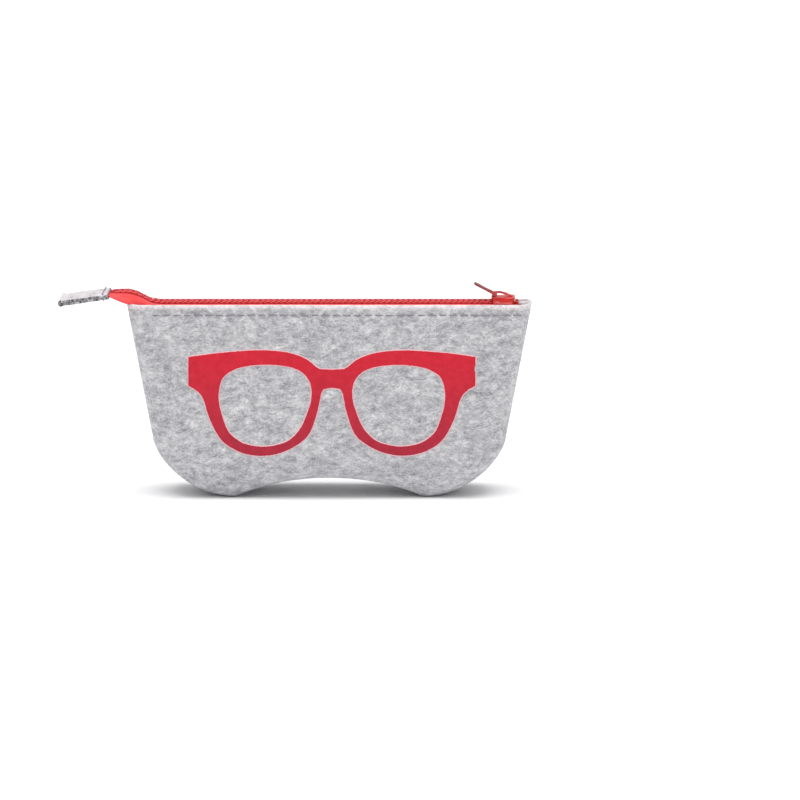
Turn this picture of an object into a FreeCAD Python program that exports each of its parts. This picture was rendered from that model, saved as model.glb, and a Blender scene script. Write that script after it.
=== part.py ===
"""Zipped felt case for a pair of eyeglasses, one STEP file for each separate piece.

Two felt panels are sewn face to face along their sides and their base seam, with the seam
allowances turned inwards.  The base is boxed, so that the case stands on two feet with a low
arch between them.  A coil zip closes the top.  Its tapes are sewn behind the felt's
raw top edges, run out over the left side seam and end in a folded felt tab.

Millimetres, +Z up, +X along the zip towards its closed end, front of the case towards -Y.
Inside this file x = 0 is midway between the side seams, y = 0 is the plane of the seams and
z = 0 is the surface that the case stands on.  export() moves every piece by FRAME_X, which
puts the origin at the bottom centre of the whole object's box.
"""

import FreeCAD
import Part

import math
import os

from FreeCAD import Vector

# ---- driving dimensions -------------------------------------------------------------------
HEIGHT = 86.0  # standing height of the felt's top edge
HALF_TOP = 90.3  # half the width across the side seams at the top edge
FELT = 1.5  # thickness of the felt
ALLOWANCE = 4.0  # width of the seam allowance turned inwards
SEAM_GAP = 0.1  # clearance between the two panels' mating faces

CORNER_CENTRE_X = 48.0  # the feet end here, and the lower corners begin
CORNER_TOP = 27.0  # height at which the lower corners run into the straight sides
CORNER_REACH = 31.0  # horizontal size of a lower corner
CORNER_POWER = 1.6  # under 2 gives the slightly chamfered corner of a boxed base

BASE_HALF_DEPTH = 12.5  # half-depth of the flat the case rests on
BULGE_TOP = 16.5  # height at which the case is deepest
BULGE_REACH = 8.0  # how far the deepest point stands out past the flat
MOUTH_HALF_DEPTH = 8.8  # half-depth over the felt at the top edge
PLAN_CORNER = 0.62  # corner radius of a horizontal section, as a share of its half-depth

ARCH_HEIGHT = 8.7  # rise of the arch between the feet
ARCH_HALF_SPAN = 42.0  # half the arch's span on the resting surface

TAPE = 0.5  # thickness of the zip tape
TAPE_EDGE = 0.4  # distance of the tape's edge from the zip's centre plane
TAPE_FALL = 10.0  # how far the tape reaches down behind the felt
TAPE_DEPTH = 1.0  # of the tape's middle below the felt's top edge

PITCH = 2.45  # of the turns of one coil
TURN_WIDTH = 0.8
TURN_REACH = 0.5  # how far a turn's head passes the centre plane
COIL_BACK = 2.7
COIL_FOOT = 0.28  # heights of the coil over the tape's middle
COIL_TOP = 1.78
FILAMENT = 0.45  # thickness of the coil's flattened filament
CORE_OFFSET = 1.3  # centre of the cord inside the coil
CORE_RADIUS = 0.2
COIL_THREAD_RADIUS = 0.15
COIL_THREAD_LIFT = 0.38  # of the thread's middle over the coil's top
CLOSED_END = 76.25  # the last engaged turn
COIL_END = 82.7
PARTING = 1.75  # how far each coil stands off the centre plane inside the slider's mouth
PARTS_FROM = CLOSED_END + 0.65
PARTED_AT = CLOSED_END + 3.25

SLIDER_X = 77.5  # middle of the slider with the zip closed
SLIDER_HALF_LENGTH = 5.25
UPPER_PLATE = 2.5  # inner face of the upper plate over the tape's middle
LOWER_PLATE = -0.9
PLATE = 0.85
PULL_LENGTH = 11.0
PULL_ANGLE = 28.0  # of the pull tab above the zip at rest, leaning left
PIVOT_X = 74.3
PIVOT_Z = 4.2  # over the tape's middle

TAB_X = -98.0  # the felt tab's open end
TAB_END = -120.3  # its fold
TAB_DROOP = 8.0  # degrees
TAB_RISE = 2.7  # of its middle plane above the felt's top edge, at its open end
TAB_FELT = 1.25  # the felt is pressed thinner under the tab's stitching
TAB_HALF_GAP = 0.35
TAB_HALF_WIDTH = 9.5

STITCH_PITCH = 4.73  # of the topstitching beside the zip
STITCH_DROP = 4.7  # below the top edge
THREAD_RADIUS = 0.3
THREAD_CLEAR = 0.03  # between a thread and the cloth it lies on

PRINT = 0.12  # thickness of the printed film
PRINT_X = 1.2  # of the printed bridge
BRIDGE_Z = 53.5
FRAME_X = -(HALF_TOP + TAB_END) / 2

# Path of the tape's middle: (x, rise above HEIGHT).  Level across the mouth, then over the seam.
TAPE_PATH = [(90.0, -TAPE_DEPTH), (-75.0, -TAPE_DEPTH), (-79.0, -0.3), (-82.5, 1.6), (-86.0, 3.3),
             (-90.0, 4.0), (-94.0, 3.6), (TAB_X, TAB_RISE)]
WALL_SLOPE = (BASE_HALF_DEPTH + BULGE_REACH - MOUTH_HALF_DEPTH) / (HEIGHT - BULGE_TOP)
EVERYWHERE = 300.0


# ---- small helpers ------------------------------------------------------------------------
def block(x0, x1, y0, y1, z0, z1):
    """Box between two corners."""
    return Part.makeBox(x1 - x0, y1 - y0, z1 - z0, Vector(x0, y0, z0))


def mirrored(shape):
    """The same piece on the back of the case."""
    return shape.mirror(Vector(0, 0, 0), Vector(0, 1, 0))


def closed_wire(points):
    return Part.makePolygon(points + points[:1])


def plate_from(points, thickness_vector):
    """Flat plate from a closed outline."""
    return Part.Face(closed_wire(points)).extrude(thickness_vector)


def thread(start, end, radius=THREAD_RADIUS):
    """Straight length of sewing thread."""
    run = end - start
    return Part.makeCylinder(radius, run.Length, start, run)


# ---- outer form of the case ---------------------------------------------------------------
def half_width(z, inset):
    """Half-width of the case at height z, taken in from its outside by inset."""
    if z >= CORNER_TOP:
        waist = CORNER_CENTRE_X + CORNER_REACH
        return waist + (HALF_TOP - waist) * (z - CORNER_TOP) / (HEIGHT - CORNER_TOP) - inset
    fall = (CORNER_TOP - z) / (CORNER_TOP - inset)
    reach = max(0.0, 1 - fall**CORNER_POWER) ** (1 / CORNER_POWER)
    return CORNER_CENTRE_X + (CORNER_REACH - inset) * reach


def half_depth(z, inset):
    """Half-depth of the case at height z, taken in from its outside by inset."""
    if z >= BULGE_TOP:
        return BASE_HALF_DEPTH + BULGE_REACH - WALL_SLOPE * (z - BULGE_TOP) - inset
    fall = (BULGE_TOP - z) / (BULGE_TOP - inset)
    return BASE_HALF_DEPTH + (BULGE_REACH - inset) * math.sqrt(max(0.0, 1 - fall**2))


def horizontal_section(z, inset):
    """Rounded rectangle, which is the case's section at one height."""
    w, d = half_width(z, inset), half_depth(z, inset)
    r = PLAN_CORNER * d
    bow = r * (1 - math.sqrt(0.5))
    edges = []
    for sx, sy in ((1, 1), (-1, 1), (-1, -1), (1, -1)):
        side = Vector(sx * w, sy * (d - r), z)
        middle = Vector(sx * (w - bow), sy * (d - bow), z)
        face = Vector(sx * (w - r), sy * d, z)
        first, last = (side, face) if sx * sy > 0 else (face, side)
        if edges:
            edges.append(Part.makeLine(edges[-1].Vertexes[-1].Point, first))
        edges.append(Part.Arc(first, middle, last).toShape())
    edges.append(Part.makeLine(edges[-1].Vertexes[-1].Point, edges[0].Vertexes[0].Point))
    return Part.Wire(edges)


def case_volume(inset, top):
    """Solid form of the case, taken in by inset, from its arched base up to top."""
    heights = [inset + share * (BULGE_TOP - inset) for share in (0, 0.06, 0.18, 0.38, 0.66, 1)]
    wires = [horizontal_section(z, inset) for z in heights + [CORNER_TOP, top]]
    radius = arch_radius()
    arch = Part.makeCylinder(radius + inset, EVERYWHERE, Vector(0, -EVERYWHERE / 2, ARCH_HEIGHT - radius),
                             Vector(0, 1, 0))
    return Part.makeLoft(wires, True, True).cut(arch)


def arch_radius():
    return (ARCH_HALF_SPAN**2 + ARCH_HEIGHT**2) / (2 * ARCH_HEIGHT)


# ---- felt panels and the print on the front -----------------------------------------------
def felt_panel():
    """Front panel: half of the shell, with its allowance turned in along the sides and base."""
    above = HEIGHT + 8
    half = block(-EVERYWHERE, EVERYWHERE, -EVERYWHERE, -SEAM_GAP / 2, -1, HEIGHT)
    behind_wall = block(-EVERYWHERE, EVERYWHERE, -EVERYWHERE, -FELT, -1, above)
    panel = case_volume(0, HEIGHT).common(half)
    panel = panel.cut(case_volume(FELT, above).common(behind_wall))
    return panel.cut(case_volume(FELT + ALLOWANCE, above))


def wall_point(x, z, clear=0.0):
    """Point on the front wall's flat outer face, or clear of it along its normal."""
    slant = math.hypot(1, WALL_SLOPE)
    y = -half_depth(z, 0) - clear / slant
    return Vector(x, y, z + clear * WALL_SLOPE / slant)


def smooth(points):
    """Smooth edge on the front wall through points of the print (x and z from its bridge)."""
    curve = Part.BSplineCurve()
    curve.interpolate([print_point(x, z) for x, z in points])
    return curve.toShape()


def print_point(x, z):
    return wall_point(PRINT_X + x, BRIDGE_Z + z)


def flipped(points):
    return [(-x, z) for x, z in points]


def printed_glasses():
    """Thin printed film in the shape of a spectacle frame, seen from the front."""
    brow = [(5.2, 4.1), (7.0, 5.0), (9.2, 6.8), (12.0, 8.7), (16.0, 10.3), (22.0, 11.7), (31.0, 12.3),
            (40.0, 12.0), (52.0, 11.0), (63.7, 9.5)]
    temple = [(63.7, 9.5), (63.7, -2.9)]
    hinge = [(63.7, -2.9), (60.6, -4.6), (58.2, -6.8), (56.5, -10.0)]
    rim = [(56.5, -10.0), (55.1, -15.0), (52.6, -21.0), (48.7, -27.0), (42.9, -31.0), (37.3, -33.0),
           (31.5, -33.6), (26.0, -33.0), (19.7, -31.0), (13.0, -27.0), (9.6, -22.8), (6.9, -15.2),
           (5.7, -10.0), (4.9, -6.3), (3.8, -4.4)]
    bridge = [[(-5.2, 4.1), (0, 3.9), (5.2, 4.1)], [(-3.8, -4.4), (0, -3.8), (3.8, -4.4)]]
    lens = [(50.4, -4.8), (49.0, 0.0), (46.0, 2.9), (40.5, 5.2), (32.0, 6.3), (24.0, 6.1), (18.0, 5.1),
            (13.0, 2.8), (9.9, -1.0), (8.9, -5.0), (9.1, -9.5), (10.8, -15.0), (14.0, -22.0),
            (19.0, -27.0), (24.5, -29.1), (31.0, -29.9), (37.4, -29.0), (41.9, -27.0), (46.4, -22.8),
            (49.4, -15.0), (50.5, -9.5)]

    sides = [brow, temple, hinge, rim]
    outline = [smooth(run) for run in sides + [flipped(run) for run in sides] + bridge]
    film = Part.Face(Part.Wire(Part.sortEdges(outline)[0]))
    for hole in (lens, flipped(lens)):
        curve = Part.BSplineCurve()
        curve.interpolate([print_point(x, z) for x, z in hole], PeriodicFlag=True)
        film = film.cut(Part.Face(Part.Wire(curve.toShape())))
    lift = wall_point(0, BRIDGE_Z, PRINT) - wall_point(0, BRIDGE_Z)
    return film.Faces[0].extrude(lift)


# ---- zip ----------------------------------------------------------------------------------
def rise(x):
    """Height of the tape's middle above HEIGHT."""
    for (xa, za), (xb, zb) in zip(TAPE_PATH, TAPE_PATH[1:]):
        if xb <= x <= xa:
            return za + (zb - za) * (x - xa) / (xb - xa)
    return TAB_RISE + (x - TAB_X) * math.tan(math.radians(TAB_DROOP))


def slope(x):
    """Angle of the tape's path in degrees, evened out so that neighbouring turns don't meet."""
    reach = 2.0
    return math.degrees(math.atan2(rise(x + reach) - rise(x - reach), 2 * reach))


def parting(x):
    """How far each coil and tape has moved away from the centre plane inside the slider's mouth."""
    return PARTING * min(1.0, max(0.0, (x - PARTS_FROM) / (PARTED_AT - PARTS_FROM)))


def swept(xs, outline):
    """Bar along the zip: outline(x) gives its section's (y, z) points at x."""
    wires = [closed_wire([Vector(x, y - parting(x), HEIGHT + rise(x) + z) for y, z in outline(x)])
             for x in xs]
    return Part.makeLoft(wires, True, True)


def thickened(line):
    """Section of a tape: its upper and lower faces about a line of (y, z) points."""
    above, below = [], []
    for i, (y, z) in enumerate(line):
        ya, za = line[max(i - 1, 0)]
        yb, zb = line[min(i + 1, len(line) - 1)]
        length = math.hypot(yb - ya, zb - za)
        ny, nz = (za - zb) / length, (yb - ya) / length
        above.append((y + ny * TAPE / 2, z + nz * TAPE / 2))
        below.append((y - ny * TAPE / 2, z - nz * TAPE / 2))
    return above + below[::-1]


def zip_tape():
    """Front tape: level under the coil, down behind the felt, and a tent over the left seam."""
    hang = -MOUTH_HALF_DEPTH + FELT + TAPE / 2 + 0.1
    foot = (hang - WALL_SLOPE * TAPE_FALL, -TAPE_FALL)
    level = [(-TAPE_EDGE, 0), (-5.2, 0), (hang - 0.25, -1.4), foot]
    parted = [(-TAPE_EDGE, 0), (-4.6, 0), (hang + PARTING - 0.25, -1.4), (foot[0] + PARTING, foot[1])]
    end = [(-TAPE_EDGE, 0), (-4.0, 0), (-5.2, -1.4), (-5.8, foot[1])]
    lines = {
        -117.0: [(-TAPE_EDGE, 0), (-3.5, 0), (-6.5, 0), (-9.2, 0)],
        TAB_X: [(-TAPE_EDGE, 0), (-3.5, 0), (-6.5, 0), (-9.2, 0)],
        -94.0: [(-TAPE_EDGE, 0), (-3.5, -0.3), (-6.5, -1.2), (-9.4, -2.1)],
        -90.0: [(-TAPE_EDGE, 0), (-3.3, -0.8), (-6.0, -2.2), (-8.6, -3.2)],
        -86.0: [(-TAPE_EDGE, 0), (-3.2, -0.8), (-4.9, -1.9), (-6.3, -3.0)],
        -82.5: [(-TAPE_EDGE, 0), (-3.4, -0.4), (-5.6, -1.6), (-6.7, -5.0)],
        -79.0: [(-TAPE_EDGE, 0), (-4.8, -0.1), (-6.9, -1.8), (-7.9, -8.6)],
        -75.0: level,
        PARTS_FROM: level,
        PARTED_AT: parted,
        84.3: end,
    }
    return swept(sorted(lines), lambda x: thickened(lines[x]))


def along_coil(outline):
    """Bar of one section, as long as the coil."""
    stations = [TAB_X + 0.5] + [x for x, _ in TAPE_PATH[-2:0:-1]]
    stations += [PARTS_FROM, PARTED_AT, COIL_END]
    return swept(stations, lambda x: outline)


def ring(radius, z, sides):
    """Round section over the middle of the front coil."""
    turns = [2 * math.pi * k / sides for k in range(sides)]
    return [(-CORE_OFFSET + radius * math.cos(a), z + radius * math.sin(a)) for a in turns]


def core_cord():
    """Cord inside the front coil."""
    return along_coil(ring(CORE_RADIUS, (COIL_FOOT + COIL_TOP) / 2, 8))


def coil_thread():
    """Thread of the row that sews the front coil to its tape, where it lies over the coil."""
    return along_coil(ring(COIL_THREAD_RADIUS, COIL_TOP + COIL_THREAD_LIFT, 6))


def coil(first_x):
    """Front coil: flattened turns at one pitch, joined along the back, with a bore for the core cord."""
    back = [(-COIL_BACK, COIL_FOOT), (-COIL_BACK, COIL_TOP), (-COIL_BACK + FILAMENT, COIL_TOP),
            (-COIL_BACK + FILAMENT, COIL_FOOT)]
    spine = along_coil(back)
    outline = [(-COIL_BACK, COIL_FOOT), (-COIL_BACK, COIL_TOP), (TURN_REACH - 0.3, COIL_TOP),
               (TURN_REACH, COIL_TOP - 0.3), (TURN_REACH, COIL_FOOT + 0.3), (TURN_REACH - 0.3, COIL_FOOT)]
    turn = plate_from([Vector(-TURN_WIDTH / 2, y, z) for y, z in outline], Vector(TURN_WIDTH, 0, 0))
    bore = block(-1, 1, -COIL_BACK + FILAMENT, TURN_REACH - 0.6, COIL_FOOT + FILAMENT, COIL_TOP - FILAMENT)
    turn = turn.cut(bore)
    turns = []
    x = first_x + PITCH * math.floor((COIL_END - TURN_WIDTH / 2 - first_x) / PITCH)
    while x > TAB_X + 1.2:
        copy = turn.copy()
        copy.rotate(Vector(0, 0, 0), Vector(0, 1, 0), -slope(x))
        copy.translate(Vector(x, -parting(x), HEIGHT + rise(x)))
        turns.append(copy)
        x -= PITCH
    return spine.fuse(turns)


def top_stop():
    """Stop clamped over the front tape's edge past the end of the coil."""
    edge = -TAPE_EDGE - PARTING
    z = HEIGHT - TAPE_DEPTH
    slot = TAPE / 2 + 0.03
    stop = block(82.95, 84.2, edge - 1.5, edge + 0.5, z - 0.75, z + 1.6)
    return stop.cut(block(80, 90, edge - 5, edge + 0.05, z - slot, z + slot))


# ---- slider and pull ----------------------------------------------------------------------
def slider_outline(wall, z):
    """Plan of the slider's channel with a wall round it: it widens where the parted coils enter."""
    tail, nose = -SLIDER_HALF_LENGTH, SLIDER_HALF_LENGTH
    half = [(tail, 2.95), (-1.0, 2.95), (2.0, 4.7), (nose, 4.7)]
    right = [Vector(SLIDER_X + x, y + wall, z) for x, y in half]
    return right + [Vector(p.x, -p.y, p.z) for p in right[::-1]]


def slider_body():
    """Cast slider: two plates joined by the wedge, with side flanges and a bridge for the pull."""
    middle = HEIGHT - TAPE_DEPTH
    lip = TAPE / 2 + 0.25
    upper = plate_from(slider_outline(0.75, middle + lip), Vector(0, 0, UPPER_PLATE + PLATE - lip))
    upper = upper.cut(plate_from(slider_outline(0, middle), Vector(0, 0, UPPER_PLATE)))
    lower = plate_from(slider_outline(0.75, middle - lip), Vector(0, 0, LOWER_PLATE - PLATE + lip))
    lower = lower.cut(plate_from(slider_outline(0, middle), Vector(0, 0, LOWER_PLATE)))
    wedge_points = [(0.9, 0), (2.4, 0.95), (4.4, 0.95), (4.9, 0.5), (4.9, -0.5), (4.4, -0.95), (2.4, -0.95)]
    wedge = plate_from([Vector(SLIDER_X + x, y, middle + LOWER_PLATE - 0.2) for x, y in wedge_points],
                       Vector(0, 0, UPPER_PLATE - LOWER_PLATE + 0.4))
    ends = slider_corners(middle)
    return upper.fuse([lower, wedge]).cut(ends).fuse(slider_bridge()).removeSplitter()


def slider_corners(middle):
    """Material taken off the plates' four corners."""
    cutters = []
    for x, y, size in ((SLIDER_HALF_LENGTH, 5.45, 1.5), (-SLIDER_HALF_LENGTH, 3.7, 0.7)):
        along = -math.copysign(size, x)
        for side in (1, -1):
            corner = [(x, y), (x + along, y), (x, y - size * 0.8)]
            outline = [Vector(SLIDER_X + cx, side * cy, middle - 3) for cx, cy in corner]
            cutters.append(plate_from(outline, Vector(0, 0, 9)))
    return cutters


def slider_bridge():
    """Arched bridge over the top plate that holds the pull's eye, high at the slider's tail."""
    foot = UPPER_PLATE + PLATE - 0.1
    outer = [(72.5, foot), (72.7, 4.9), (73.5, 5.55), (76.0, 5.7), (79.2, 4.9), (82.2, foot)]
    inner = [(80.3, foot), (78.6, 4.2), (76.0, 4.9), (74.4, 4.9), (73.6, 4.6), (73.5, foot)]
    half_width_y = 0.9
    points = [Vector(x, -half_width_y, HEIGHT - TAPE_DEPTH + z) for x, z in outer + inner]
    return plate_from(points, Vector(0, 2 * half_width_y, 0))


def pull_tab():
    """Flat pull with an eye round the bridge, a tapered shank and a small hole near its end."""
    half_thick, half_bar = 0.45, 0.42
    outline = [(-half_bar, 2.2), (3.6, 2.3), (5.4, 1.7), (PULL_LENGTH - 2.4, 2.3), (PULL_LENGTH - 0.7, 2.0),
               (PULL_LENGTH, 1.0)]
    points = [Vector(u, v, -half_thick) for u, v in outline]
    points += [Vector(p.x, -p.y, p.z) for p in points[::-1]]
    pull = plate_from(points, Vector(0, 0, 2 * half_thick))
    eye = block(half_bar, 3.9, -1.15, 1.15, -1, 1)
    hole = Part.makeCylinder(0.8, 2, Vector(PULL_LENGTH - 2.2, 0, -1))
    bar_relief = block(-2, half_bar, -1.15, 1.15, -1, 1)
    bar = Part.makeCylinder(half_bar, 2.5, Vector(0, -1.25, 0), Vector(0, 1, 0))
    pull = pull.cut(eye.fuse([hole, bar_relief])).fuse(bar).removeSplitter()
    pull.rotate(Vector(0, 0, 0), Vector(0, 1, 0), 180 + PULL_ANGLE)
    pull.translate(Vector(PIVOT_X, 0, HEIGHT - TAPE_DEPTH + PIVOT_Z))
    return pull


# ---- felt tab at the zip's end ------------------------------------------------------------
def tab_place(shape):
    """Turns a piece drawn along +X from the tab's open end into the tab's own slope."""
    shape.rotate(Vector(0, 0, 0), Vector(0, 1, 0), 180 - TAB_DROOP)
    shape.translate(Vector(TAB_X, 0, HEIGHT + TAB_RISE))
    return shape


def end_tab():
    """Strip of felt folded over the ends of both tapes."""
    outer, inner = TAB_HALF_GAP + TAB_FELT, TAB_HALF_GAP
    fold = (TAB_X - TAB_END - outer) / math.cos(math.radians(TAB_DROOP))
    y = -TAB_HALF_WIDTH

    def leaf_edge(radius, forward):
        bend = [Vector(fold + r, y, z) for r, z in ((0, radius), (radius, 0), (0, -radius))]
        run = [Part.makeLine(Vector(0, y, radius), bend[0]), Part.Arc(*bend).toShape(),
               Part.makeLine(bend[2], Vector(0, y, -radius))]
        return run if forward else run[::-1]

    edges = leaf_edge(outer, True)
    edges += [Part.makeLine(Vector(0, y, -outer), Vector(0, y, -inner))]
    edges += leaf_edge(inner, False)
    edges += [Part.makeLine(Vector(0, y, inner), Vector(0, y, outer))]
    face = Part.Face(Part.Wire(Part.sortEdges(edges)[0]))
    return tab_place(face.extrude(Vector(0, 2 * TAB_HALF_WIDTH, 0)))


def tab_stitches():
    """Stitch row across the tab, on both faces, which holds the tapes' ends."""
    lift = TAB_HALF_GAP + TAB_FELT + THREAD_RADIUS + THREAD_CLEAR
    row = []
    for k in range(5):
        y = -TAB_HALF_WIDTH + 1.2 + k * 3.6
        for side in (1, -1):
            row.append(thread(Vector(2.2, y, side * lift), Vector(2.2, y + 2.7, side * lift)))
    return tab_place(Part.Compound(row))


# ---- sewing threads -----------------------------------------------------------------------
def topstitch(inner):
    """Row of stitches beside the zip: the needle thread outside, or the bobbin thread inside."""
    z = HEIGHT - STITCH_DROP
    clear = THREAD_RADIUS + THREAD_CLEAR
    if inner:
        clear = -(FELT + TAPE + 0.4 + THREAD_RADIUS)
    row = []
    x = -73.0
    while x < 76.0:
        row.append(thread(wall_point(x, z, clear), wall_point(x + STITCH_PITCH - 1.2, z, clear)))
        x += STITCH_PITCH
    return Part.Compound(row)


def seam_line():
    """Points along the right half of the sewing line, from the top edge to the middle of the arch."""
    inset = FELT + ALLOWANCE / 2
    steps = 60
    points = [(half_width(z, inset), z)
              for z in (inset + (HEIGHT - 4 - inset) * (k / steps) ** 2 for k in range(steps, -1, -1))]
    radius = arch_radius() + inset
    centre_z = ARCH_HEIGHT - arch_radius()
    arch_start = math.sqrt(radius**2 - (inset - centre_z) ** 2)
    for k in range(steps + 1):
        x = arch_start * (1 - k / steps)
        points.append((x, centre_z + math.sqrt(radius**2 - x**2)))
    return points


def seam_thread():
    """Stitches on the front allowance's face along both sides and the base."""
    pitch, length, radius = 3.6, 2.7, 0.25
    y = -(FELT + radius + THREAD_CLEAR)
    points = seam_line()
    row, travelled, due = [], 0.0, 0.0
    for (xa, za), (xb, zb) in zip(points, points[1:]):
        step = math.hypot(xb - xa, zb - za)
        while step > 0 and due <= travelled + step:
            share = (due - travelled) / step
            ux, uz = (xb - xa) / step, (zb - za) / step
            x, z = xa + (xb - xa) * share, za + (zb - za) * share
            ends = (x - ux * length / 2, z - uz * length / 2), (x + ux * length / 2, z + uz * length / 2)
            for side in (1, -1):
                if side > 0 or x > length:
                    row.append(thread(*[Vector(side * ex, y, ez) for ex, ez in ends], radius))
            due += pitch
        travelled += step
    return Part.Compound(row)


# ---- every piece, by the name of its node -------------------------------------------------
def pieces():
    front = {
        "front_panel": felt_panel(),
        "zipper_tape_front": zip_tape(),
        "zipper_coil_front": coil(CLOSED_END),
        "coil_core_cord_front": core_cord(),
        "coil_thread_front": coil_thread(),
        "top_stop_front": top_stop(),
        "topstitch_front": topstitch(False),
        "topstitch_bobbin_front": topstitch(True),
        "seam_thread_front": seam_thread(),
    }
    made = dict(front)
    for name, shape in front.items():
        made[name.replace("front", "back")] = mirrored(shape)
    made["zipper_coil_back"] = mirrored(coil(CLOSED_END - PITCH / 2))
    made["glasses_print"] = printed_glasses()
    made["slider_body"] = slider_body()
    made["pull_tab"] = pull_tab()
    made["end_tab"] = end_tab()
    made["tab_stitches"] = tab_stitches()
    return made


def export(made):
    os.makedirs("parts", exist_ok=True)
    for name, shape in sorted(made.items()):
        placed = shape.copy()
        placed.translate(Vector(FRAME_X, 0, 0))
        placed.exportStep(f"parts/{name}.step")
        box = placed.optimalBoundingBox(False)
        print(f"{name:24s} {len(placed.Solids):3d} solids  {placed.Volume:9.2f} mm3  x {box.XMin:7.2f}"
              f"..{box.XMax:7.2f}  y {box.YMin:6.2f}..{box.YMax:6.2f}  z {box.ZMin:6.2f}..{box.ZMax:6.2f}")


export(pieces())
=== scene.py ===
"""Looks of the zipped felt eyeglasses case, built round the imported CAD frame.

Shapes are worked out in millimetres in the case's own axes: x = 0 midway between the side
seams, y = 0 in the plane of the seams, z = 0 on the surface it stands on, front towards -y.
add_piece() turns them into metres in the frame's axes.
"""

import math

import bmesh
import bpy
import numpy as np
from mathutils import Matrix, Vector
from mathutils.geometry import delaunay_2d_cdt


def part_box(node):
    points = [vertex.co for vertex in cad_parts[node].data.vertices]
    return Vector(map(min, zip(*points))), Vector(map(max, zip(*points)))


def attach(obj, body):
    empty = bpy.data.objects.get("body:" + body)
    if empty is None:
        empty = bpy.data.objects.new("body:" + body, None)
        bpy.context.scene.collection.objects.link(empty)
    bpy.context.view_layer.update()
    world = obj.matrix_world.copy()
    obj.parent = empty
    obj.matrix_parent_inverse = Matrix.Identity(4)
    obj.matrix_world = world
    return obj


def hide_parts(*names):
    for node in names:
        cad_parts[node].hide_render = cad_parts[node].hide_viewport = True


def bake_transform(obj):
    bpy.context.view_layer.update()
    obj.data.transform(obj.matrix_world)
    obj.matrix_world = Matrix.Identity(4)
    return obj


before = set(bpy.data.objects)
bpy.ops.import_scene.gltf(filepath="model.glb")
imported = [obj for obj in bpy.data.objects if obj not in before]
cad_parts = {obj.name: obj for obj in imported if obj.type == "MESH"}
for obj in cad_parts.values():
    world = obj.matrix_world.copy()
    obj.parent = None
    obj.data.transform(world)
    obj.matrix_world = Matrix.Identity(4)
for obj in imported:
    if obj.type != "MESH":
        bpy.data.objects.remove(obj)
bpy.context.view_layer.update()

MM = 0.001

# ---- sizes taken from the frame, in millimetres ----
PANEL_LOW, PANEL_HIGH = (np.array(corner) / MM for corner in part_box("front_panel"))
CENTRE_X = (PANEL_LOW[0] + PANEL_HIGH[0]) / 2  # of the side seams, in the frame
HALF_TOP = (PANEL_HIGH[0] - PANEL_LOW[0]) / 2
HEIGHT = PANEL_HIGH[2]
FULL_HALF_DEPTH = -PANEL_LOW[1]
TAB_LOW, TAB_HIGH = (np.array(corner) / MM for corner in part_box("end_tab"))
TAB_HALF_WIDTH = TAB_HIGH[1]
TAB_X = TAB_HIGH[0] - CENTRE_X - 0.22  # where the tapes go into the tab
TAB_END = TAB_LOW[0] - CENTRE_X

# ---- sizes of the felt ----
FELT = 1.5
ALLOWANCE = 4.0  # felt turned inside at the seams
SEAM_ROLL = 1.6  # radius of the felt's turn into the seam
SEAM_GAP = 0.06
CORNER_CENTRE_X = 48.0
CORNER_TOP = 27.0
CORNER_REACH = 31.0
CORNER_POWER = 1.6  # 2 would make each lower corner an ellipse
BULGE_TOP = 16.5
BULGE_REACH = 8.0
BASE_HALF_DEPTH = FULL_HALF_DEPTH - BULGE_REACH
MOUTH_HALF_DEPTH = 8.8
PLAN_CORNER = 0.62  # radius of the wall's corners in plan, as a share of the half-depth
ARCH_HEIGHT = 8.7
ARCH_HALF_SPAN = 42.0
ARCH_FADE = 20.0  # height at which the front no longer follows the arch
WALL_SEED = {"front": 3, "back": 5}  # of the random slack in each wall
WALL_SLOPE = (FULL_HALF_DEPTH - MOUTH_HALF_DEPTH) / (HEIGHT - BULGE_TOP)
STITCH_DROP = 4.7
STITCH_PITCH = 4.73

# ---- sizes of the zip ----
TAPE = 0.5
TAPE_DEPTH = 1.0
TAPE_EDGE = 0.4
TAPE_END = 84.3
PITCH = 2.45
CLOSED_END = 76.25  # where the coils are held together up to
COIL_END = 82.6
PARTING = 1.75  # how far each coil stands off the middle inside the slider's mouth
PARTS_FROM = CLOSED_END + 0.65
PARTED_AT = CLOSED_END + 3.25
COIL_BACK = 2.7  # reach of each turn away from the middle
COIL_HEAD = 0.5  # reach of each turn past the middle, between the other coil's turns
COIL_FOOT = 0.28  # lowest and highest places of a turn over the tape's middle
COIL_TOP = 1.78
FILAMENT = 0.4  # radius
CORE_OFFSET = 1.3  # of the cord inside each coil, from the middle
TAB_RISE = 3.6
TAB_DROOP = math.radians(8.0)
STUB_X = -79.8  # left of this the zip is made as the stub pieces by the tab, right of it as the main pieces
# height of the tape over the felt's top edge, at places along it
TAPE_PATH_X = [TAB_X, -94.0, -90.0, -86.0, -82.5, -79.0, -75.0, 90.0]
TAPE_PATH_Z = [TAB_RISE, 4.1, 4.2, 3.4, 1.6, -0.3, -TAPE_DEPTH, -TAPE_DEPTH]


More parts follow.
